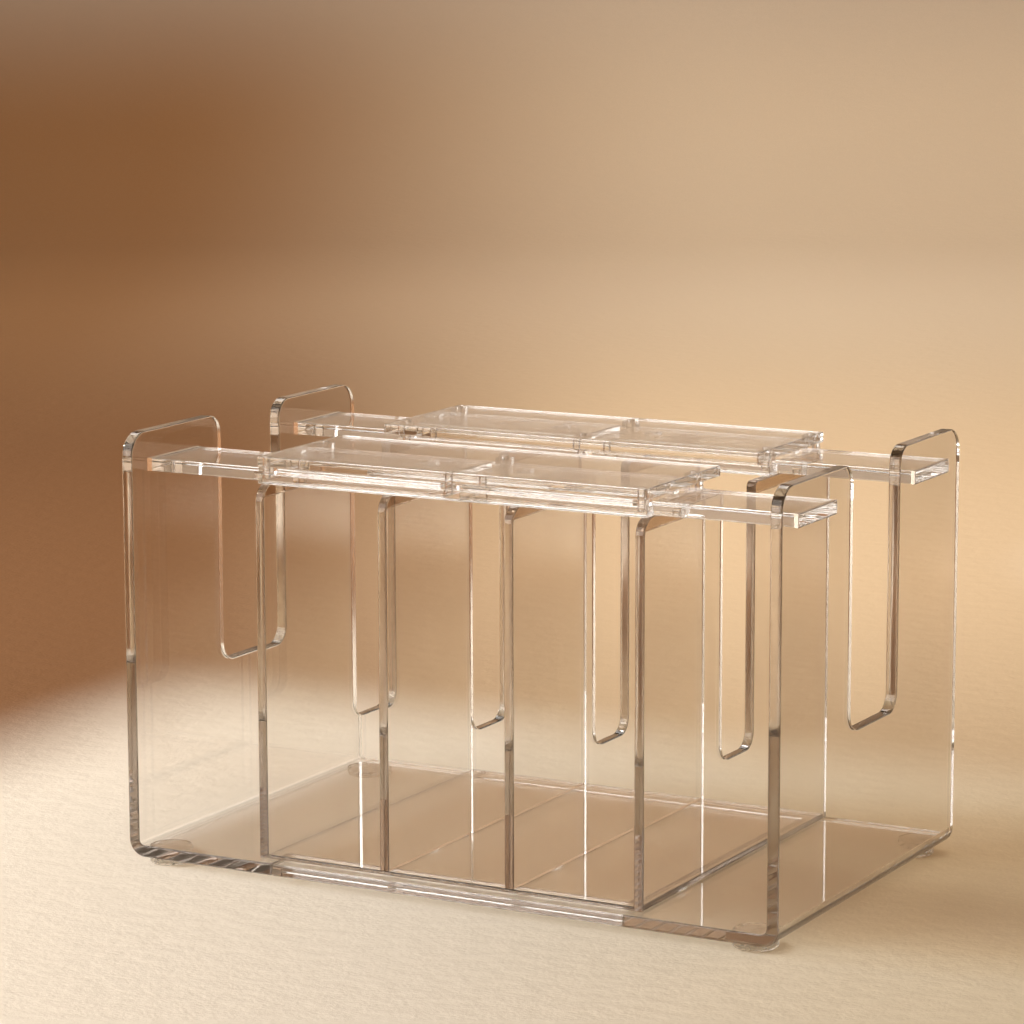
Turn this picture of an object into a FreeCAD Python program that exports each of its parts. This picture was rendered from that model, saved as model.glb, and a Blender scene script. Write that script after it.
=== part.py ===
import FreeCAD, Part
import os
import Sketcher

# Expandable desktop bookshelf in clear acrylic sheet.
#
# Frame: millimetres, +X along the shelf, +Y from front to back, +Z up.
# The origin is on the surface that the feet stand on, under the middle of
# the shelf. Heights below are measured from the underside of the base
# leaves, which is one foot height above the origin.
#
# Left slider   left bent frame (end panel and base leaf with a tongue),
#               its two flat rails, their stops and its two feet.
# Right slider  right bent frame (end panel and base leaf with a fork), its
#               two rails, their stops and its two feet.
# Centre unit   floor sheet, four U-slotted dividers, and the two sleeves
#               that bridge them and carry the rails.

doc = FreeCAD.newDocument("bookshelf")

# ---------------------------------------------------------------- dimensions
sheet = doc.addObject("Spreadsheet::Sheet", "Dims")
sheet.Label = "Dims"
VALUES = [
    ("overall_length", 360.0, "outer faces of the end panels, closed"),
    ("overall_depth", 216.0, "end panels and base, front to back"),
    ("panel_height", 216.0, "base underside to the top of an end panel"),
    ("foot_height", 4.0, "bumper foot under the base"),
    ("foot_radius", 11.0, ""),
    ("foot_bottom_round", 1.8, ""),
    ("foot_end_inset", 17.0, "foot axis from the end panel's outer face"),
    ("foot_side_inset", 13.0, "foot axis from the front or rear edge"),
    ("panel_gauge", 6.0, "sheet of the bent frames"),
    ("bend_radius", 9.0, "outside of the bend"),
    ("polish", 0.8, "flame-polished edge"),
    ("fine_polish", 0.6, "edge of the thin sheets and bars"),
    ("cement", 0.05, "solvent joint between two sheets"),
    ("slide_gap", 0.3, "between parts that slide on each other"),
    ("ear_radius", 12.0, "outer top corners of an end panel"),
    ("ear_inner_radius", 10.0, "top corners at the slot"),
    ("slot_floor_radius", 9.0, ""),
    ("panel_slot_front", 82.0, "from the front edge"),
    ("panel_slot_width", 56.0, ""),
    ("panel_slot_floor", 86.0, "above the base underside"),
    ("leaf_shoulder", 84.6, "full-depth part of a leaf, from its panel"),
    ("tongue_end", 275.2, "end of the left leaf's tongue"),
    ("shoulder_gap", 0.4, "between leaf ends when closed"),
    ("prong_width", 15.85, "prongs of the right leaf"),
    ("tongue_inset", 16.15, "tongue's side from the front edge"),
    ("divider_gauge", 5.0, ""),
    ("divider_pitch", 69.5, ""),
    ("divider_front", 7.5, "front edge from the base's front edge"),
    ("divider_depth", 205.5, ""),
    ("divider_slot_front", 86.5, "from the divider's front edge"),
    ("divider_slot_width", 36.0, ""),
    ("divider_slot_floor", 61.0, "above the base underside"),
    ("divider_ear_radius", 9.0, ""),
    ("divider_slot_radius", 8.0, ""),
    ("ear_top", 194.7, "top of the glide strips"),
    ("glide_height", 6.0, ""),
    ("floor_gauge", 2.0, "floor sheet of the centre unit"),
    ("rail_width", 45.0, ""),
    ("rail_gauge", 6.5, ""),
    ("rail_low", 195.0, "underside of the rails"),
    ("rail_reach", 176.0, "outer face of the panel to the rail's inner end"),
    ("front_rail_front", 18.0, "front rail, from the front edge"),
    ("rear_rail_front", 157.0, "rear rail, from the front edge"),
    ("mortise_gap", 0.1, "round a rail in its panel"),
    ("sleeve_width", 80.0, ""),
    ("sleeve_gauge", 5.25, "top plates and guide bars"),
    ("front_sleeve_front", 10.0, "from the front edge"),
    ("rear_sleeve_front", 133.0, ""),
    ("sleeve_low", 203.25, "underside of the top plates"),
    ("bar_low", 194.75, "underside of the guide bars"),
    ("narrow_bar", 7.4, "guide bar along the outer edge"),
    ("wide_bar", 10.0, "guide bar along the middle gap"),
    ("bar_gap", 0.4, "rail's edge to a guide bar"),
    ("post_size", 7.0, "spacer block along X"),
    ("pin_radius", 2.0, ""),
    ("pin_hole", 2.05, "radius"),
    ("pin_depth", 2.5, "pin in the guide bar"),
    ("block_size", 7.0, "stop block at a sleeve's mouth"),
    ("block_gauge", 1.4, ""),
    ("stop_size", 6.0, "stop on a rail"),
    ("stop_width", 8.0, ""),
    ("stop_place", 203.2, "rail stop's inner face, from the left panel"),
]
for row, (alias, value, note) in enumerate(VALUES, start=1):
    sheet.set("A%d" % row, alias)
    sheet.set("B%d" % row, repr(value))
    sheet.set("C%d" % row, note)
    sheet.setAlias("B%d" % row, alias)
doc.recompute()


def dim(text):
    """The expression with each alias read from the sheet."""
    import re
    names = [v[0] for v in VALUES]
    return re.sub(r"[a-z_]+", lambda m: "Dims." + m.group(0) if m.group(0) in names else m.group(0), text)


def plane(body, role):
    for f in body.Origin.OriginFeatures:
        if f.Role == role:
            return f
    raise RuntimeError(role)


def polygon(body, role, name, points):
    """A closed sketch of straight lines through points, each an (x, y) pair of expressions. Each corner is held to the sketch's origin by a distance along x and one along y."""
    sk = body.newObject("Sketcher::SketchObject", name)
    sk.AttachmentSupport = (plane(body, role), [""])
    sk.MapMode = "FlatFace"
    values = []
    for px, py in points:
        values.append((evaluate(px), evaluate(py)))
    n = len(values)
    for i in range(n):
        a, b = values[i], values[(i + 1) % n]
        sk.addGeometry(Part.LineSegment(FreeCAD.Vector(a[0], a[1], 0), FreeCAD.Vector(b[0], b[1], 0)), False)
    for i in range(n):
        sk.addConstraint(Sketcher.Constraint("Coincident", i, 2, (i + 1) % n, 1))
    for i, ((px, py), (vx, vy)) in enumerate(zip(points, values)):
        if abs(vx) < 1e-9 and px == "0":
            sk.addConstraint(Sketcher.Constraint("PointOnObject", i, 1, -2))
        else:
            c = sk.addConstraint(Sketcher.Constraint("DistanceX", -1, 1, i, 1, vx))
            sk.setExpression("Constraints[%d]" % c, dim(px))
        if abs(vy) < 1e-9 and py == "0":
            sk.addConstraint(Sketcher.Constraint("PointOnObject", i, 1, -1))
        else:
            c = sk.addConstraint(Sketcher.Constraint("DistanceY", -1, 1, i, 1, vy))
            sk.setExpression("Constraints[%d]" % c, dim(py))
    return sk


TABLE = dict((v[0], v[1]) for v in VALUES)


def evaluate(text):
    """The number that a sum of aliases and numbers stands for, read from the sheet's own values."""
    total, sign, word = 0.0, 1.0, ""
    for ch in text.replace(" ", "") + "+":
        if ch in "+-":
            if word:
                product = 1.0
                parts = word.replace("/", "*/").split("*")
                for part in parts:
                    invert = part.startswith("/")
                    part = part.lstrip("/")
                    number = TABLE[part] if part in TABLE else float(part)
                    product = product / number if invert else product * number
                total += sign * product
                word, sign = "", 1.0
            if ch == "-":
                sign = -sign
        else:
            word += ch
    return total


def volume(obj):
    doc.recompute()
    return obj.Shape.Volume


def pad(body, sk, name, length, want_low):
    """Pads the sketch by an expression, towards the side where the solid's lowest corner is want_low, an (axis, value) pair."""
    p = body.newObject("PartDesign::Pad", name)
    p.Profile = sk
    p.setExpression("Length", dim(length))
    sk.Visibility = False
    doc.recompute()
    axis, low = want_low
    if abs(getattr(p.Shape.BoundBox, axis) - low) > 0.01:
        p.Reversed = True
        doc.recompute()
    assert abs(getattr(p.Shape.BoundBox, axis) - low) < 0.01, name
    return p


def pocket(body, sk, name):
    """Cuts the sketch through the whole solid, on the side where the solid is."""
    before = body.Shape.Volume
    p = body.newObject("PartDesign::Pocket", name)
    p.Profile = sk
    p.Type = 1
    sk.Visibility = False
    if volume(p) > before - 1.0:
        p.Reversed = True
        if volume(p) > before - 1.0:
            raise RuntimeError(name + " cuts nothing")
    return p


def edges(shape, test):
    return ["Edge%d" % (i + 1) for i, e in enumerate(shape.Edges) if test(e)]


def along(e, axis):
    """True if a straight edge runs along an axis, 0 to 2."""
    if len(e.Vertexes) != 2 or e.Curve.TypeId != "Part::GeomLine":
        return False
    d = e.Vertexes[1].Point.sub(e.Vertexes[0].Point)
    return all(abs(d[k]) < 1e-4 for k in range(3) if k != axis)


def at(e, **where):
    """True if every end of the edge is at the given x, y or z."""
    return all(abs(getattr(v, k.upper()) - w) < 1e-3 for v in e.Vertexes for k, w in where.items())


def fillet(body, name, radius, names):
    assert names, name
    base = body.Tip
    f = body.newObject("PartDesign::Fillet", name)
    f.Base = (base, names)
    f.Radius = evaluate(radius)
    f.setExpression("Radius", dim(radius))
    doc.recompute()
    if "Invalid" in f.State or "Error" in f.State or f.Shape.isNull() or not f.Shape.isValid():
        raise RuntimeError(name + " failed")
    base.Visibility = False
    return f


def place(obj, x=None, y=None, z=None):
    for axis, text in (("x", x), ("y", y), ("z", z)):
        if text is not None:
            obj.setExpression("Placement.Base." + axis, dim(text))


def new_body(name):
    body = doc.addObject("PartDesign::Body", name)
    body.Label = name
    return body


NODES = []

LEFT = "-overall_length/2"
FRONT = "-overall_depth/2"


# --------------------------------------------------------------- bent frames
def bent_frame(name, fork, slot_front, front_rail, rear_rail):
    """One sheet bent to an end panel and a base leaf. Local origin: the bend's outer corner at the front of the left frame; x runs from the panel into the shelf. The left leaf ends in a tongue and the right leaf in a fork that takes it."""
    body = new_body(name)
    leaf = "overall_length-leaf_shoulder-shoulder_gap" if fork else "tongue_end"
    profile = polygon(body, "XZ_Plane", name + "_profile", [
        ("0", "0"), (leaf, "0"), (leaf, "panel_gauge"), ("panel_gauge", "panel_gauge"),
        ("panel_gauge", "panel_height"), ("0", "panel_height")])
    pad(body, profile, name + "_sheet", "overall_depth", ("YMin", 0.0))

    if fork:
        root = "overall_length-tongue_end-shoulder_gap"
        gap = polygon(body, "XY_Plane", name + "_fork_outline", [
            (root, "prong_width"), (leaf + "+5", "prong_width"),
            (leaf + "+5", "overall_depth-prong_width"), (root, "overall_depth-prong_width")])
        pocket(body, gap, name + "_fork")
    else:
        for side, (low, high) in (("front", ("-5", "tongue_inset")), ("rear", ("overall_depth-tongue_inset", "overall_depth+5"))):
            cut = polygon(body, "XY_Plane", name + "_" + side + "_step_outline", [
                ("leaf_shoulder", low), (leaf + "+5", low), (leaf + "+5", high), ("leaf_shoulder", high)])
            pocket(body, cut, name + "_" + side + "_step")

    slot = polygon(body, "YZ_Plane", name + "_slot_outline", [
        (slot_front, "panel_slot_floor"), (slot_front + "+panel_slot_width", "panel_slot_floor"),
        (slot_front + "+panel_slot_width", "panel_height+5"), (slot_front, "panel_height+5")])
    pocket(body, slot, name + "_slot")

    fillet(body, name + "_bend_outside", "bend_radius", edges(body.Shape, lambda e: along(e, 1) and at(e, x=0.0, z=0.0)))
    fillet(body, name + "_bend_inside", "bend_radius-panel_gauge", edges(
        body.Shape, lambda e: along(e, 1) and at(e, x=TABLE["panel_gauge"], z=TABLE["panel_gauge"])))
    top = TABLE["panel_height"]
    s0 = evaluate(slot_front)
    s1 = s0 + TABLE["panel_slot_width"]
    fillet(body, name + "_ears", "ear_radius", edges(
        body.Shape, lambda e: along(e, 0) and at(e, z=top) and (at(e, y=0.0) or at(e, y=TABLE["overall_depth"]))))
    fillet(body, name + "_ears_inside", "ear_inner_radius", edges(
        body.Shape, lambda e: along(e, 0) and at(e, z=top) and (at(e, y=s0) or at(e, y=s1))))
    fillet(body, name + "_slot_floor", "slot_floor_radius", edges(
        body.Shape, lambda e: along(e, 0) and at(e, z=TABLE["panel_slot_floor"]) and (at(e, y=s0) or at(e, y=s1))))
    # every long edge of the sheet is flame-polished
    face_edges = []
    for i, e in enumerate(body.Shape.Edges):
        f = body.Shape.ancestorsOfType(e, Part.Face)
        if len(f) != 2:
            continue
        m = e.valueAt((e.FirstParameter + e.LastParameter) / 2)
        n = []
        for face in f:
            u, v = face.Surface.parameter(m)
            n.append(face.normalAt(u, v))
        if abs(n[0].dot(n[1])) < 0.2:
            face_edges.append("Edge%d" % (i + 1))
    fillet(body, name + "_polish", "polish", face_edges)
    # mortises for the rails
    for rail_name, y in (("front", front_rail), ("rear", rear_rail)):
        cut = polygon(body, "YZ_Plane", name + "_" + rail_name + "_mortise_outline", [
            (y + "-mortise_gap", "rail_low-mortise_gap"), (y + "+rail_width+mortise_gap", "rail_low-mortise_gap"),
            (y + "+rail_width+mortise_gap", "rail_low+rail_gauge+mortise_gap"), (y + "-mortise_gap", "rail_low+rail_gauge+mortise_gap")])
        pocket(body, cut, name + "_" + rail_name + "_mortise")
    return body


left_frame = bent_frame("left_frame", False, "panel_slot_front", "front_rail_front", "rear_rail_front")
place(left_frame, LEFT, FRONT, "foot_height")
NODES.append(left_frame)

# The right frame is turned half a turn about Z, so its own front is at the
# shelf's rear and its cuts are measured from there.
right_frame = bent_frame(
    "right_frame", True, "overall_depth-panel_slot_front-panel_slot_width",
    "overall_depth-rear_rail_front-rail_width", "overall_depth-front_rail_front-rail_width")
right_frame.Placement = FreeCAD.Placement(FreeCAD.Vector(0, 0, 0), FreeCAD.Rotation(FreeCAD.Vector(0, 0, 1), 180))
place(right_frame, "overall_length/2", "overall_depth/2", "foot_height")
NODES.append(right_frame)


# --------------------------------------------------------------------- rails
def bar(name, length, width, height, polish, x, y, z):
    """A plain bar with polished edges. Its low corner is at x, y and z."""
    body = new_body(name)
    outline = polygon(body, "XY_Plane", name + "_outline", [("0", "0"), (length, "0"), (length, width), ("0", width)])
    pad(body, outline, name + "_bar", height, ("ZMin", 0.0))
    fillet(body, name + "_polish", polish, edges(body.Shape, lambda e: True))
    place(body, x, y, z)
    return body


RAIL_Z = "foot_height+rail_low"
for side, x in (("left", LEFT), ("right", "overall_length/2-rail_reach")):
    for row in ("front", "rear"):
        NODES.append(bar(
            side + "_" + row + "_rail", "rail_reach", "rail_width", "rail_gauge", "polish",
            x, FRONT + "+" + row + "_rail_front", RAIL_Z))


def box(name, length, width, height, x, y, z):
    b = doc.addObject("Part::Box", name)
    b.setExpression("Length", dim(length))
    b.setExpression("Width", dim(width))
    b.setExpression("Height", dim(height))
    place(b, x, y, z)
    return b


def cylinder(name, radius, height, x, y, z):
    c = doc.addObject("Part::Cylinder", name)
    c.setExpression("Radius", dim(radius))
    c.setExpression("Height", dim(height))
    place(c, x, y, z)
    return c


def group(name, members):
    g = doc.addObject("Part::Compound", name)
    g.Label = name
    g.Links = members
    return g


def eased(name, base, radius, test=lambda e: True):
    """The base with a small fillet on the chosen edges."""
    doc.recompute()
    f = doc.addObject("Part::Fillet", name)
    f.Base = base
    r = evaluate(radius)
    f.Edges = [(i + 1, r, r) for i, e in enumerate(base.Shape.Edges) if test(e)]
    doc.recompute()
    return f


# The stops stand on the inner ends of the rails. They meet the blocks in
# the sleeves' mouths when the shelf is pulled out all the way.
for side in ("left", "right"):
    members = []
    for row in ("front", "rear"):
        x = "-overall_length/2+overall_length-stop_place-stop_size" if side == "left" else "-overall_length/2+stop_place"
        y = FRONT + "+" + row + "_rail_front+rail_width/2-stop_width/2"
        blank = box("%s_%s_stop_blank" % (side, row), "stop_size", "stop_width", "block_gauge", x, y, RAIL_Z + "+rail_gauge+cement")
        members.append(eased("%s_%s_stop" % (side, row), blank, "0.2"))
    NODES.append(group(side + "_rail_stops", members))

# ---------------------------------------------------------------------- feet
for side, sx in (("left", "-overall_length/2+foot_end_inset"), ("right", "overall_length/2-foot_end_inset")):
    for row, sy in (("front", "-overall_depth/2+foot_side_inset"), ("rear", "overall_depth/2-foot_side_inset")):
        name = "%s_%s_foot" % (row, side)
        body = new_body(name)
        half = polygon(body, "XZ_Plane", name + "_section", [
            ("0", "0"), ("foot_radius", "0"), ("foot_radius", "foot_height-cement"), ("0", "foot_height-cement")])
        turn = body.newObject("PartDesign::Revolution", name + "_turned")
        turn.Profile = half
        turn.ReferenceAxis = (half, ["V_Axis"])
        turn.Angle = 360.0
        doc.recompute()
        half.Visibility = False
        low = edges(body.Shape, lambda e: e.Curve.TypeId == "Part::GeomCircle" and abs(e.Vertexes[0].Z) < 1e-3)
        fillet(body, name + "_bottom_round", "foot_bottom_round", low)
        high = edges(body.Shape, lambda e: e.Curve.TypeId == "Part::GeomCircle" and abs(e.Vertexes[0].Z - evaluate("foot_height-cement")) < 1e-3)
        fillet(body, name + "_top_round", "0.4", high)
        place(body, sx, sy, None)
        NODES.append(body)

# ------------------------------------------------------------------ dividers
# One blank carries the whole outline up to the top of the ears. Each divider
# is the blank below the glide strips; the strips are the blank's ear tops.
blank = new_body("divider_blank")
foot_of_blank = "panel_gauge+slide_gap"
HT = "ear_top-" + "panel_gauge-slide_gap"
FLOOR = "divider_slot_floor-panel_gauge-slide_gap"
outline = polygon(blank, "YZ_Plane", "divider_outline", [
    ("0", "0"), ("divider_depth", "0"), ("divider_depth", HT),
    ("divider_slot_front+divider_slot_width", HT), ("divider_slot_front+divider_slot_width", FLOOR),
    ("divider_slot_front", FLOOR), ("divider_slot_front", HT), ("0", HT)])
pad(blank, outline, "divider_sheet", "divider_gauge", ("XMin", 0.0))
ht = evaluate(HT)
fillet(blank, "divider_ears", "divider_ear_radius", edges(
    blank.Shape, lambda e: along(e, 0) and at(e, z=ht) and (at(e, y=0.0) or at(e, y=TABLE["divider_depth"]))))
slot_ys = (TABLE["divider_slot_front"], TABLE["divider_slot_front"] + TABLE["divider_slot_width"])
fillet(blank, "divider_slot_top", "divider_ear_radius/3", edges(
    blank.Shape, lambda e: along(e, 0) and at(e, z=ht) and any(at(e, y=y) for y in slot_ys)))
fillet(blank, "divider_slot_floor", "divider_slot_radius", edges(
    blank.Shape, lambda e: along(e, 0) and at(e, z=evaluate(FLOOR)) and any(at(e, y=y) for y in slot_ys)))
fillet(blank, "divider_polish", "polish", edges(
    blank.Shape, lambda e: at(e, x=0.0) or at(e, x=TABLE["divider_gauge"])))

STRIP_Z = HT + "-glide_height"
above = box("above_dividers", "divider_gauge+2", "divider_depth+2", "glide_height+10", "-1", "-1", STRIP_Z + "-cement")
below = box("below_middle_dividers", "divider_gauge+2", "divider_depth+2", "floor_gauge+cement", "-1", "-1", "0")
both = group("middle_divider_trim", [above, below])
front_caps = box("front_strip_space", "divider_gauge+2", "divider_slot_front+2", "glide_height+10", "-1", "-1", STRIP_Z)
rear_caps = box("rear_strip_space", "divider_gauge+2", "divider_depth", "glide_height+10", "-1", "divider_slot_front+divider_slot_width-1", STRIP_Z)
DIVIDER_X = [
    "-1.5*divider_pitch-divider_gauge/2", "-0.5*divider_pitch-divider_gauge/2",
    "0.5*divider_pitch-divider_gauge/2", "1.5*divider_pitch-divider_gauge/2"]
DIVIDER_Y = FRONT + "+divider_front"
DIVIDER_Z = "foot_height+panel_gauge+slide_gap"
strips = {"front": [], "rear": []}
for i, x in enumerate(DIVIDER_X, start=1):
    cut = doc.addObject("Part::Cut", "divider_%d" % i)
    cut.Label = "divider_%d" % i
    cut.Base = blank
    cut.Tool = above if i in (1, 4) else both
    place(cut, x, DIVIDER_Y, DIVIDER_Z)
    NODES.append(cut)
    for row, space in (("front", front_caps), ("rear", rear_caps)):
        top = doc.addObject("Part::Common", "%s_glide_strip_%d" % (row, i))
        top.Base = blank
        top.Tool = space
        place(top, x, DIVIDER_Y, DIVIDER_Z)
        strips[row].append(top)
for row in ("front", "rear"):
    NODES.append(group(row + "_glide_strips", strips[row]))

# --------------------------------------------------------------- floor sheet
NODES.append(bar(
    "floor_sheet", "3*divider_pitch-divider_gauge-2*cement", "divider_depth", "floor_gauge-cement", "fine_polish",
    "-1.5*divider_pitch+divider_gauge/2+cement", DIVIDER_Y, DIVIDER_Z))

# ------------------------------------------------------------------- sleeves
SLEEVE_X = "-1.5*divider_pitch-divider_gauge/2"
SLEEVE_LENGTH = "3*divider_pitch+divider_gauge"
POST_X = [SLEEVE_X + "+0.5", "-post_size/2", "1.5*divider_pitch+divider_gauge/2-0.5-post_size"]
BLOCK_X = [SLEEVE_X + "+0.2", "1.5*divider_pitch+divider_gauge/2-0.2-block_size"]
blocks = []
for row in ("front", "rear"):
    plate_y = FRONT + "+" + row + "_sleeve_front"
    rail_y = FRONT + "+" + row + "_rail_front"
    outer = ("narrow_bar", rail_y + "-bar_gap-narrow_bar") if row == "front" else ("narrow_bar", rail_y + "+rail_width+bar_gap")
    inner = ("wide_bar", rail_y + "+rail_width+bar_gap") if row == "front" else ("wide_bar", rail_y + "-bar_gap-wide_bar")
    holes = {"outer": [], "inner": [], "plate": []}
    posts, pins = [], []
    for where, (width, y) in (("outer", outer), ("inner", inner)):
        mid_y = y + "+" + width + "/2"
        for k, x in enumerate(POST_X, start=1):
            tag = "%s_%s_%d" % (row, where, k)
            mid_x = x + "+post_size/2"
            bar_top = "foot_height+bar_low+sleeve_gauge"
            holes[where].append(cylinder(tag + "_bar_hole", "pin_hole", "pin_depth+0.1+1", mid_x, mid_y, bar_top + "-pin_depth-0.1"))
            holes["plate"].append(cylinder(tag + "_plate_hole", "pin_hole", "sleeve_gauge+2", mid_x, mid_y, "foot_height+sleeve_low-1"))
            post = box(tag + "_post_blank", "post_size", "narrow_bar-0.4", "sleeve_low-bar_low-sleeve_gauge-2*cement",
                       x, mid_y + "-narrow_bar/2+0.2", bar_top + "+cement")
            bore = cylinder(tag + "_post_hole", "pin_hole", "20", mid_x, mid_y, bar_top + "-8")
            drilled = doc.addObject("Part::Cut", tag + "_post")
            drilled.Base = eased(tag + "_post_eased", post, "0.25", lambda e: along(e, 2))
            drilled.Tool = bore
            posts.append(drilled)
            pin = cylinder(tag + "_pin_blank", "pin_radius", "pin_depth+sleeve_low+sleeve_gauge-bar_low-sleeve_gauge", mid_x, mid_y, bar_top + "-pin_depth")
            pins.append(eased(tag + "_pin", pin, "0.25", lambda e: e.Curve.TypeId == "Part::GeomCircle"))
    for where, (width, y) in (("outer", outer), ("inner", inner)):
        name = "%s_sleeve_%s_bar" % (row, where)
        raw = bar(name + "_blank", SLEEVE_LENGTH, width, "sleeve_gauge", "fine_polish", SLEEVE_X, y, "foot_height+bar_low")
        cut = doc.addObject("Part::Cut", name)
        cut.Label = name
        cut.Base = raw
        cut.Tool = group(name + "_holes", holes[where])
        NODES.append(cut)
    name = row + "_sleeve_top"
    raw = bar(name + "_blank", SLEEVE_LENGTH, "sleeve_width", "sleeve_gauge", "fine_polish", SLEEVE_X, plate_y, "foot_height+sleeve_low")
    cut = doc.addObject("Part::Cut", name)
    cut.Label = name
    cut.Base = raw
    cut.Tool = group(name + "_holes", holes["plate"])
    NODES.append(cut)
    NODES.append(group(row + "_sleeve_posts", posts))
    NODES.append(group(row + "_sleeve_pins", pins))
    for k, x in enumerate(BLOCK_X, start=1):
        tag = "%s_block_%d" % (row, k)
        b = box(tag + "_blank", "block_size", "stop_width", "block_gauge", x,
                rail_y + "+rail_width/2-stop_width/2", "foot_height+sleeve_low-cement-block_gauge")
        blocks.append(eased(tag, b, "0.2"))
NODES.append(group("sleeve_stop_blocks", blocks))

doc.recompute()

# -------------------------------------------------------------------- output
bad = [o.Name for o in doc.Objects if "Invalid" in o.State or "Error" in o.State]
if bad:
    raise RuntimeError("failed objects: %s" % bad)
for node in NODES:
    s = node.Shape
    if s.isNull() or not s.isValid() or s.Volume <= 0:
        raise RuntimeError("bad shape: " + node.Label)
os.makedirs("parts", exist_ok=True)
for node in NODES:
    node.Shape.exportStep("parts/%s.step" % node.Label)
    b = node.Shape.BoundBox
    print("%-28s solids %2d  vol %9.1f  x %7.2f %7.2f  y %7.2f %7.2f  z %6.2f %6.2f" % (
        node.Label, len(node.Shape.Solids), node.Shape.Volume, b.XMin, b.XMax, b.YMin, b.YMax, b.ZMin, b.ZMax))
print(len(NODES), "nodes")
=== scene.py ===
# Clear acrylic desktop shelf that pulls out to both sides.
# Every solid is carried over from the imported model; this script gives the finishes, the
# studio, the light and the camera.  Units are metres, +Z up, origin at the bottom centre.
import math

import bpy
from mathutils import Matrix, Vector

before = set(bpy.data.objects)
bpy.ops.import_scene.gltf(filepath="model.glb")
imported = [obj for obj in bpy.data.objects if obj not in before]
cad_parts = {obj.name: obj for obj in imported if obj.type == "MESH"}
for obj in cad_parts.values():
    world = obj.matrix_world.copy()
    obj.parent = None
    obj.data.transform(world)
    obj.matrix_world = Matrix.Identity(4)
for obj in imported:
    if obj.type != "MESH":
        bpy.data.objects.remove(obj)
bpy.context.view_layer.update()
scene = bpy.context.scene


# ------------------------------------------------------------------ node helpers
class Tree:
    """A material's or the world's node tree, with short calls for the nodes used here."""

    def __init__(self, tree):
        self.t = tree
        tree.nodes.clear()

    def add(self, kind, inputs=None, **settings):
        n = self.t.nodes.new(kind)
        for key, value in settings.items():
            setattr(n, key, value)
        for key, value in (inputs or {}).items():
            self.put(n, key, value)
        return n

    def put(self, node, key, value):
        socket = node.inputs[key]
        if isinstance(value, bpy.types.NodeSocket):
            self.t.links.new(value, socket)
        else:
            socket.default_value = value

    def maths(self, operation, a, b=0.5, c=0.5, clamp=False):
        n = self.add("ShaderNodeMath", operation=operation, use_clamp=clamp)
        for i, value in enumerate((a, b, c)[: 1 if operation in ("ABSOLUTE", "SQRT") else 3]):
            if i < len(n.inputs):
                self.put(n, i, value)
        return n.outputs[0]

    def ramp(self, value, low, high, to_low=0.0, to_high=1.0, smooth=True):
        n = self.add("ShaderNodeMapRange", clamp=True)
        n.interpolation_type = "SMOOTHSTEP" if smooth else "LINEAR"
        for i, v in enumerate((value, low, high, to_low, to_high)):
            self.put(n, i, v)
        return n.outputs[0]

    def mix(self, factor, a, b):
        n = self.add("ShaderNodeMix", data_type="RGBA", clamp_factor=True)
        self.put(n, 0, factor)
        self.put(n, 6, a)
        self.put(n, 7, b)
        return n.outputs[2]

    def noise(self, vector, scale, detail=3.0, rough=0.5, distortion=0.0):
        n = self.add("ShaderNodeTexNoise", {"Vector": vector, "Scale": scale, "Detail": detail,
                                            "Roughness": rough, "Distortion": distortion})
        return n.outputs["Fac"]

    def stretched(self, vector, scale, rotation=(0.0, 0.0, 0.0)):
        n = self.add("ShaderNodeMapping", {"Vector": vector, "Scale": scale, "Rotation": rotation})
        return n.outputs[0]

    def bump(self, height, strength, distance, normal=None):
        n = self.add("ShaderNodeBump", {"Height": height, "Strength": strength, "Distance": distance})
        if normal is not None:
            self.put(n, "Normal", normal)
        return n.outputs[0]


def srgb(r, g, b):
    """A colour given as 0-255 display values, as linear RGBA."""
    def lin(v):
        v /= 255.0
        return v / 12.92 if v <= 0.04045 else ((v + 0.055) / 1.055) ** 2.4
    return (lin(r), lin(g), lin(b), 1.0)


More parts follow.
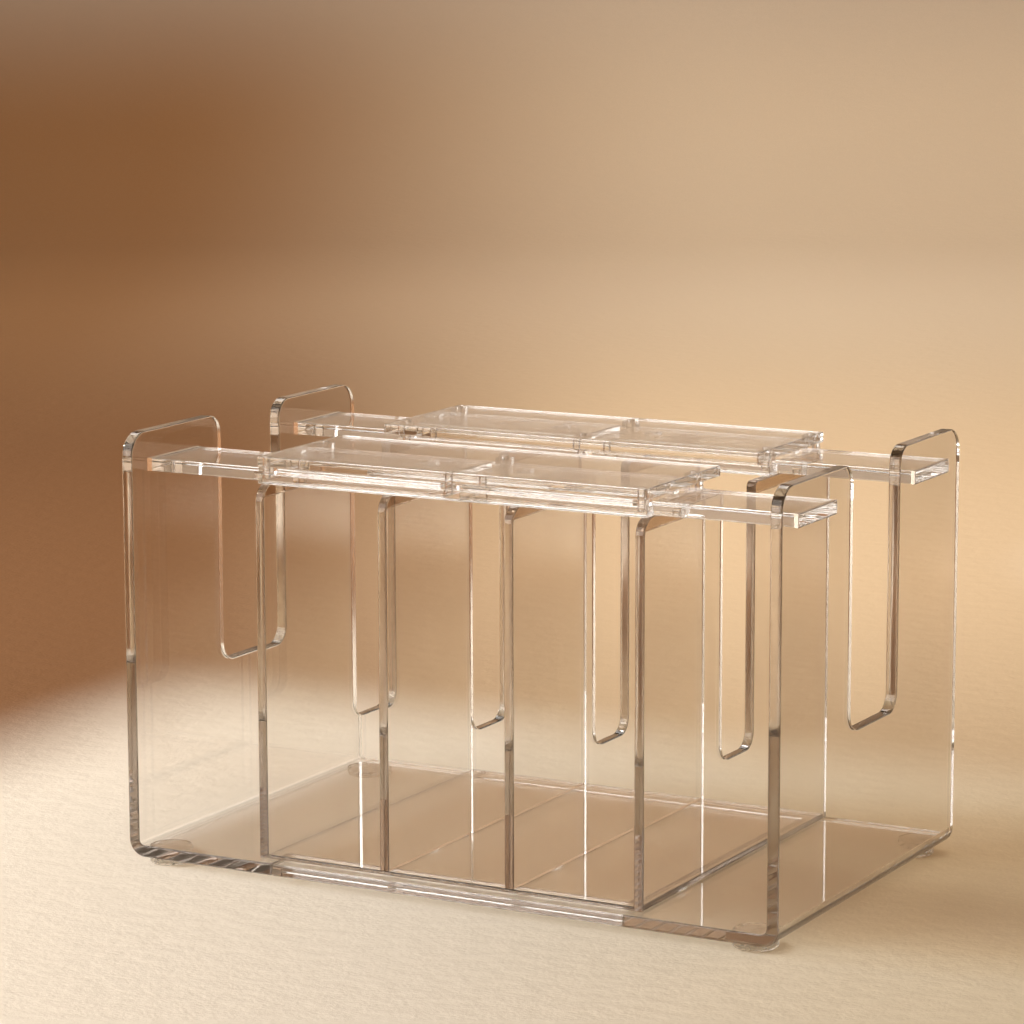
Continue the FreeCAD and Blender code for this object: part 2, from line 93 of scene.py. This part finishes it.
# ------------------------------------------------------------------ finishes
def acrylic(name, tint=(0.992, 0.992, 0.988), tint_low=(0.975, 0.972, 0.962), ior=1.49,
            smudge=0.012, wave=0.000001, grain=0.05, inner=(0.57, 0.50, 0.44), density=8.0,
            shade=(0.93, 0.895, 0.85), clear=1.0,
            ripples=9.0, seed=0.0):
    """Clear cast sheet: a faint unevenness of the polish, wiped-on haze, hairline scuffs, and a
    warm cast that builds up with the length of the way through the sheet."""
    m = bpy.data.materials.new(name)
    m.use_nodes = True
    t = Tree(m.node_tree)
    at = t.add("ShaderNodeTexCoord").outputs["Object"]
    at = t.add("ShaderNodeVectorMath", {0: at, 1: (seed, seed * 0.7, -seed)}, operation="ADD").outputs[0]
    # haze left by wiping: broad soft patches, finer towards their rims
    broad = t.noise(at, 14.0, 4.0, 0.55, 0.6)
    fine = t.noise(at, 160.0, 3.0, 0.6)
    haze = t.ramp(t.maths("ADD", broad, t.maths("MULTIPLY", fine, 0.25)), 0.52, 0.86)
    # hairline scuffs, long in one direction and short in the others
    scuff = t.noise(t.stretched(at, (1500.0, 90.0, 70.0), (0.0, 0.0, 0.5)), 1.0, 2.0, 0.7)
    scuff = t.ramp(scuff, 0.66, 0.80)
    rough = t.maths("ADD", t.maths("MULTIPLY", haze, smudge), t.maths("MULTIPLY", scuff, smudge * 0.8))
    colour = t.mix(haze, (*tint, 1.0), (*tint_low, 1.0))
    # the sheet is never quite flat, and the polish leaves a fine ripple
    ripple = t.noise(at, ripples, 2.0, 0.45)
    normal = t.bump(ripple, 1.0, wave)
    normal = t.bump(t.noise(at, 420.0, 2.0, 0.5), grain, 0.000001, normal)
    glass = t.add("ShaderNodeBsdfPrincipled", {
        "Base Color": colour, "Roughness": rough, "Normal": normal,
        "IOR": ior, "Transmission Weight": clear})
    lamp = t.add("ShaderNodeBsdfTransparent", {"Color": (*shade, 1.0)})
    path = t.add("ShaderNodeLightPath")
    shader = t.add("ShaderNodeMixShader", {0: path.outputs["Is Shadow Ray"],
                                           1: glass.outputs[0], 2: lamp.outputs[0]})
    out = t.add("ShaderNodeOutputMaterial", {"Surface": shader.outputs[0]})
    if density:
        body = t.add("ShaderNodeVolumeAbsorption", {"Color": (*inner, 1.0), "Density": density})
        t.put(out, "Volume", body.outputs[0])
    return m


finishes = {
    "clear_sheet_thick": acrylic("clear_sheet_thick", seed=0.0, shade=(0.965, 0.945, 0.915)),
    "clear_sheet": acrylic("clear_sheet", seed=3.1),
    "clear_sheet_thin": acrylic("clear_sheet_thin", seed=5.3, shade=(0.98, 0.97, 0.955)),
    "clear_bar": acrylic("clear_bar", seed=8.2, wave=0.0000015, density=0.8, shade=(0.93, 0.91, 0.89)),
    "smoke_glide": acrylic("smoke_glide", seed=11.0, tint=(0.62, 0.50, 0.39), tint_low=(0.54, 0.43, 0.33),
                           inner=(0.70, 0.58, 0.46), density=6.0, smudge=0.08, grain=0.8,
                           shade=(0.6, 0.52, 0.45)),
    "clear_bumper": acrylic("clear_bumper", seed=13.0, ior=1.49, smudge=0.04, wave=0.0016, ripples=240.0,
                            density=0.0, shade=(0.80, 0.76, 0.71)),
}

for name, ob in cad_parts.items():
    for slot in ob.material_slots:
        key = slot.material.name.split(".")[0] if slot.material else ""
        slot.material = finishes.get(key, finishes["clear_sheet"])


# ------------------------------------------------------------------ studio
def sweep():
    """A round floor that curves up all the way round, far outside the camera."""
    profile = [(0.0, 0.0), (0.3, 0.0), (0.7, 0.0), (1.3, 0.0), (2.2, 0.0), (3.2, 0.0)]
    profile += [(3.2 + 1.3 * math.sin(a), 1.3 - 1.3 * math.cos(a))
                for a in [math.radians(9 * k) for k in range(1, 11)]]
    profile += [(4.5, 1.9), (4.5, 2.6)]
    around = 96
    verts, faces = [(0.0, 0.0, 0.0)], []
    for r, z in profile[1:]:
        verts += [(r * math.cos(2 * math.pi * k / around), r * math.sin(2 * math.pi * k / around), z)
                  for k in range(around)]
    for k in range(around):
        faces.append((0, 1 + k, 1 + (k + 1) % around))
    for ring in range(len(profile) - 2):
        a, b = 1 + ring * around, 1 + (ring + 1) * around
        faces += [(a + k, b + k, b + (k + 1) % around, a + (k + 1) % around) for k in range(around)]
    mesh = bpy.data.meshes.new("studio_sweep")
    mesh.from_pydata(verts, [], faces)
    mesh.polygons.foreach_set("use_smooth", [True] * len(mesh.polygons))
    ob = bpy.data.objects.new("studio_sweep", mesh)
    scene.collection.objects.link(ob)
    return ob


def sweep_finish():
    """Matt plaster: pale under the shelf, a warmer tan further out, with painted shade towards the back
    left and to the right, a painted pool of light at the back right, painted light far off, and a soft fine
    grain.
    """
    m = bpy.data.materials.new("pale_plaster")
    m.use_nodes = True
    t = Tree(m.node_tree)
    at = t.add("ShaderNodeTexCoord").outputs["Object"]
    parts = t.add("ShaderNodeSeparateXYZ", {0: at})
    flat = t.add("ShaderNodeCombineXYZ", {0: parts.outputs[0], 1: parts.outputs[1], 2: 0.0})
    radius = t.add("ShaderNodeVectorMath", {0: flat.outputs[0]}, operation="LENGTH").outputs["Value"]
    cloud = t.noise(at, 3.0, 3.0, 0.5)
    behind = t.maths("SUBTRACT", parts.outputs[1], 0.25)
    beside = t.maths("SUBTRACT", -0.365, parts.outputs[0])
    edge = t.maths("ADD", t.maths("SMOOTH_MAX", behind, beside, 0.08),
                   t.maths("MULTIPLY", t.maths("SUBTRACT", cloud, 0.5), 0.05))
    # the pale plaster warms a little to the right, and behind the shelf it turns into tan,
    # which is painted darker towards the back left as painted shade
    across = t.maths("ADD", t.maths("MULTIPLY", parts.outputs[0], 0.879),
                     t.maths("MULTIPLY", parts.outputs[1], 0.477))
    near = t.mix(t.ramp(across, -0.10, 0.24), srgb(238, 225, 207), srgb(240, 221, 190))
    near = t.mix(t.maths("MULTIPLY", cloud, 0.10), near, srgb(214, 194, 166))
    far = t.mix(t.ramp(across, -0.30, 0.17), srgb(122, 80, 44), srgb(218, 189, 152))
    # and painted darker again well to the right of the shelf, as painted shade
    side = t.maths("ADD", parts.outputs[0], t.maths("MULTIPLY", parts.outputs[1], 0.378))
    right_painted_shade = t.maths("MULTIPLY", t.ramp(side, 0.25, 0.52), t.ramp(radius, 1.6, 2.8, 1.0, 0.0))
    far = t.mix(right_painted_shade, far, srgb(146, 106, 70))
    # a painted pool of light: a pale patch at the back right, which the upright edges carry to the front as
    # bright lines
    painted_light_patch = t.add("ShaderNodeVectorMath", {0: flat.outputs[0], 1: (0.21, 0.99, 0.0)}, operation="DISTANCE")
    far = t.mix(t.ramp(painted_light_patch.outputs["Value"], 0.16, 0.34, 1.0, 0.0), far, srgb(240, 226, 206))
    # far off, where the studio falls into shade, the plaster is painted lighter as painted light, and
    # painted darker towards the left as painted shade
    distant = t.mix(t.ramp(across, -0.55, 0.35), srgb(162, 116, 74), srgb(242, 218, 186))
    far = t.mix(t.ramp(radius, 1.3, 2.6), far, distant)
    colour = t.mix(t.ramp(edge, -0.07, 0.10), near, far)
    colour = t.mix(t.ramp(parts.outputs[2], 0.10, 0.5), colour, srgb(208, 190, 170))
    upper = t.mix(t.ramp(parts.outputs[0], -1.3, -0.7), srgb(206, 174, 142), srgb(220, 196, 170))
    colour = t.mix(t.ramp(parts.outputs[2], 0.96, 1.06), colour, upper)
    grain = t.noise(at, 520.0, 4.0, 0.6)
    mottle = t.noise(at, 70.0, 3.0, 0.55)
    colour = t.mix(t.ramp(grain, 0.3, 0.75, 0.0, 0.10), colour, srgb(178, 152, 122))
    normal = t.bump(grain, 0.35, 0.0006)
    normal = t.bump(mottle, 0.4, 0.002, normal)
    plaster = t.add("ShaderNodeBsdfPrincipled", {"Base Color": colour, "Roughness": 0.9,
                                                 "Specular IOR Level": 0.2, "Normal": normal})
    t.add("ShaderNodeOutputMaterial", {"Surface": plaster.outputs[0]})
    return m


floor = sweep()
floor.data.materials.append(sweep_finish())


def lamp(name, place, aim, size, watts, colour, spread=180.0, on_matt=True, in_polish=True):
    """An area lamp.  With on_matt off it only shows in polish and glass, as a reflector card does.
    With in_polish off it draws no highlight along the edges."""
    data = bpy.data.lights.new(name, "AREA")
    data.shape = "RECTANGLE"
    data.size, data.size_y = size
    data.energy = watts
    data.color = colour
    data.spread = math.radians(spread)
    ob = bpy.data.objects.new(name, data)
    ob.location = place
    ob.rotation_mode = "QUATERNION"
    ob.rotation_quaternion = (Vector(aim) - Vector(place)).to_track_quat("-Z", "Y")
    ob.visible_diffuse = on_matt
    ob.visible_glossy = in_polish
    scene.collection.objects.link(ob)
    return ob


# the key is small and stands to the left, a little above the shelf
lamp("left_key", (-1.95, -0.53, 1.15), (0.0, 0.0, 0.1), (0.32, 0.32), 55.0, (1.0, 0.98, 0.95))
# an upright box to the front left is what the long plates carry through to their far ends
lamp("front_box", (-1.15, -2.05, 0.80), (0.0, 0.0, 0.25), (0.9, 1.1), 9.5, (1.0, 0.98, 0.96))
lamp("front_pool", (-1.2, -2.2, 1.6), (-0.75, -1.35, 0.0), (0.9, 0.9), 12.0, (1.0, 0.98, 0.95), 70.0,
     in_polish=False)
lamp("back_wash", (-0.6, 1.7, 2.2), (-1.6, 3.1, 0.0), (1.6, 0.8), 13.0, (1.0, 0.98, 0.95), 110.0)
lamp("back_wash_right", (1.3, 1.7, 2.2), (2.4, 3.6, 0.9), (1.6, 0.8), 20.0, (1.0, 0.98, 0.96), 100.0)
lamp("back_wash_left", (-1.6, 0.6, 2.3), (-4.1, 0.2, 0.6), (1.2, 0.8), 14.0, (1.0, 0.98, 0.96), 110.0)
lamp("front_wash_right", (1.7, -1.7, 2.4), (3.3, -3.3, 0.3), (1.2, 0.8), 11.0, (1.0, 0.98, 0.96), 110.0)
lamp("front_wash_left", (-2.2, -2.4, 2.4), (-3.5, -3.3, 0.3), (1.2, 0.8), 8.0, (1.0, 0.98, 0.96), 110.0)
# a tight pool high on the sweep, which the clear plates show along their length and at their ends
lamp("sweep_pool", (-1.25, 2.6, 1.9), (-2.03, 3.97, 1.12), (0.5, 0.4), 1.2, (1.0, 0.98, 0.96), 60.0)
lamp("edge_pool", (0.45, 0.55, 2.2), (0.36, 0.86, 0.0), (0.15, 0.15), 0.25, (1.0, 0.98, 0.96), 14.0)
# cards high at the back, at the front left and behind draw the bright lines along the polished edges
lamp("card_high", (-1.22, 1.30, 2.10), (0.0, 0.0, 0.2), (1.3, 1.0), 14.0, (1.0, 0.98, 0.96), on_matt=False)
lamp("card_front", (-1.20, -1.70, 1.76), (0.0, 0.0, 0.2), (1.2, 0.9), 8.0, (1.0, 0.98, 0.96), on_matt=False)
lamp("card_behind", (0.90, 2.30, 1.20), (0.0, 0.0, 0.2), (1.0, 0.7), 2.2, (1.0, 0.98, 0.96), on_matt=False)
# a soft pool on the tan behind the right half
lamp("back_pool", (0.2, 0.5, 2.2), (-0.30, 1.1, 0.0), (1.0, 1.0), 4.0, (1.0, 0.96, 0.90), 50.0)

world = bpy.data.worlds.new("studio_air")
world.use_nodes = True
scene.world = world
t = Tree(world.node_tree)
way = t.add("ShaderNodeTexCoord").outputs["Generated"]
up = t.add("ShaderNodeSeparateXYZ", {0: way}).outputs[2]
sky = t.mix(t.ramp(up, 0.1, 0.9), srgb(196, 166, 134), srgb(214, 190, 162))
air = t.add("ShaderNodeBackground", {"Color": sky, "Strength": 0.20})
t.add("ShaderNodeOutputWorld", {"Surface": air.outputs[0]})

# ------------------------------------------------------------------ camera
yaw, pitch, roll = math.radians(28.474), math.radians(9.7487), math.radians(-0.12825)
ahead = Vector((-math.sin(yaw) * math.cos(pitch), math.cos(yaw) * math.cos(pitch), -math.sin(pitch)))
right = Vector((math.cos(yaw), math.sin(yaw), 0.0))
upward = right.cross(ahead)
turned_right = math.cos(roll) * right + math.sin(roll) * upward
turned_up = -math.sin(roll) * right + math.cos(roll) * upward
camera_data = bpy.data.cameras.new("camera")
camera_data.sensor_width = 36.0
camera_data.lens = 131.23
camera_data.clip_start, camera_data.clip_end = 0.05, 40.0
camera = bpy.data.objects.new("camera", camera_data)
axes = Matrix((turned_right, turned_up, -ahead)).transposed()
camera.matrix_world = Matrix.Translation((0.86589, -1.62890, 0.49536)) @ axes.to_4x4()
scene.collection.objects.link(camera)
scene.camera = camera

# ------------------------------------------------------------------ picture settings
scene.view_settings.view_transform = "Standard"
scene.view_settings.look = "None"
scene.view_settings.exposure = 0.0
scene.view_settings.gamma = 1.0
c = scene.cycles
c.max_bounces = 48
c.transmission_bounces = 48
c.glossy_bounces = 48
c.diffuse_bounces = 4
c.transparent_max_bounces = 32
c.volume_bounces = 0
c.sample_clamp_indirect = 6.0
c.blur_glossy = 0.3
# lamps reach the floor through the sheets as tinted shadows, so the same light is not added twice
c.caustics_reflective = False
c.caustics_refractive = False
c.use_denoising = True
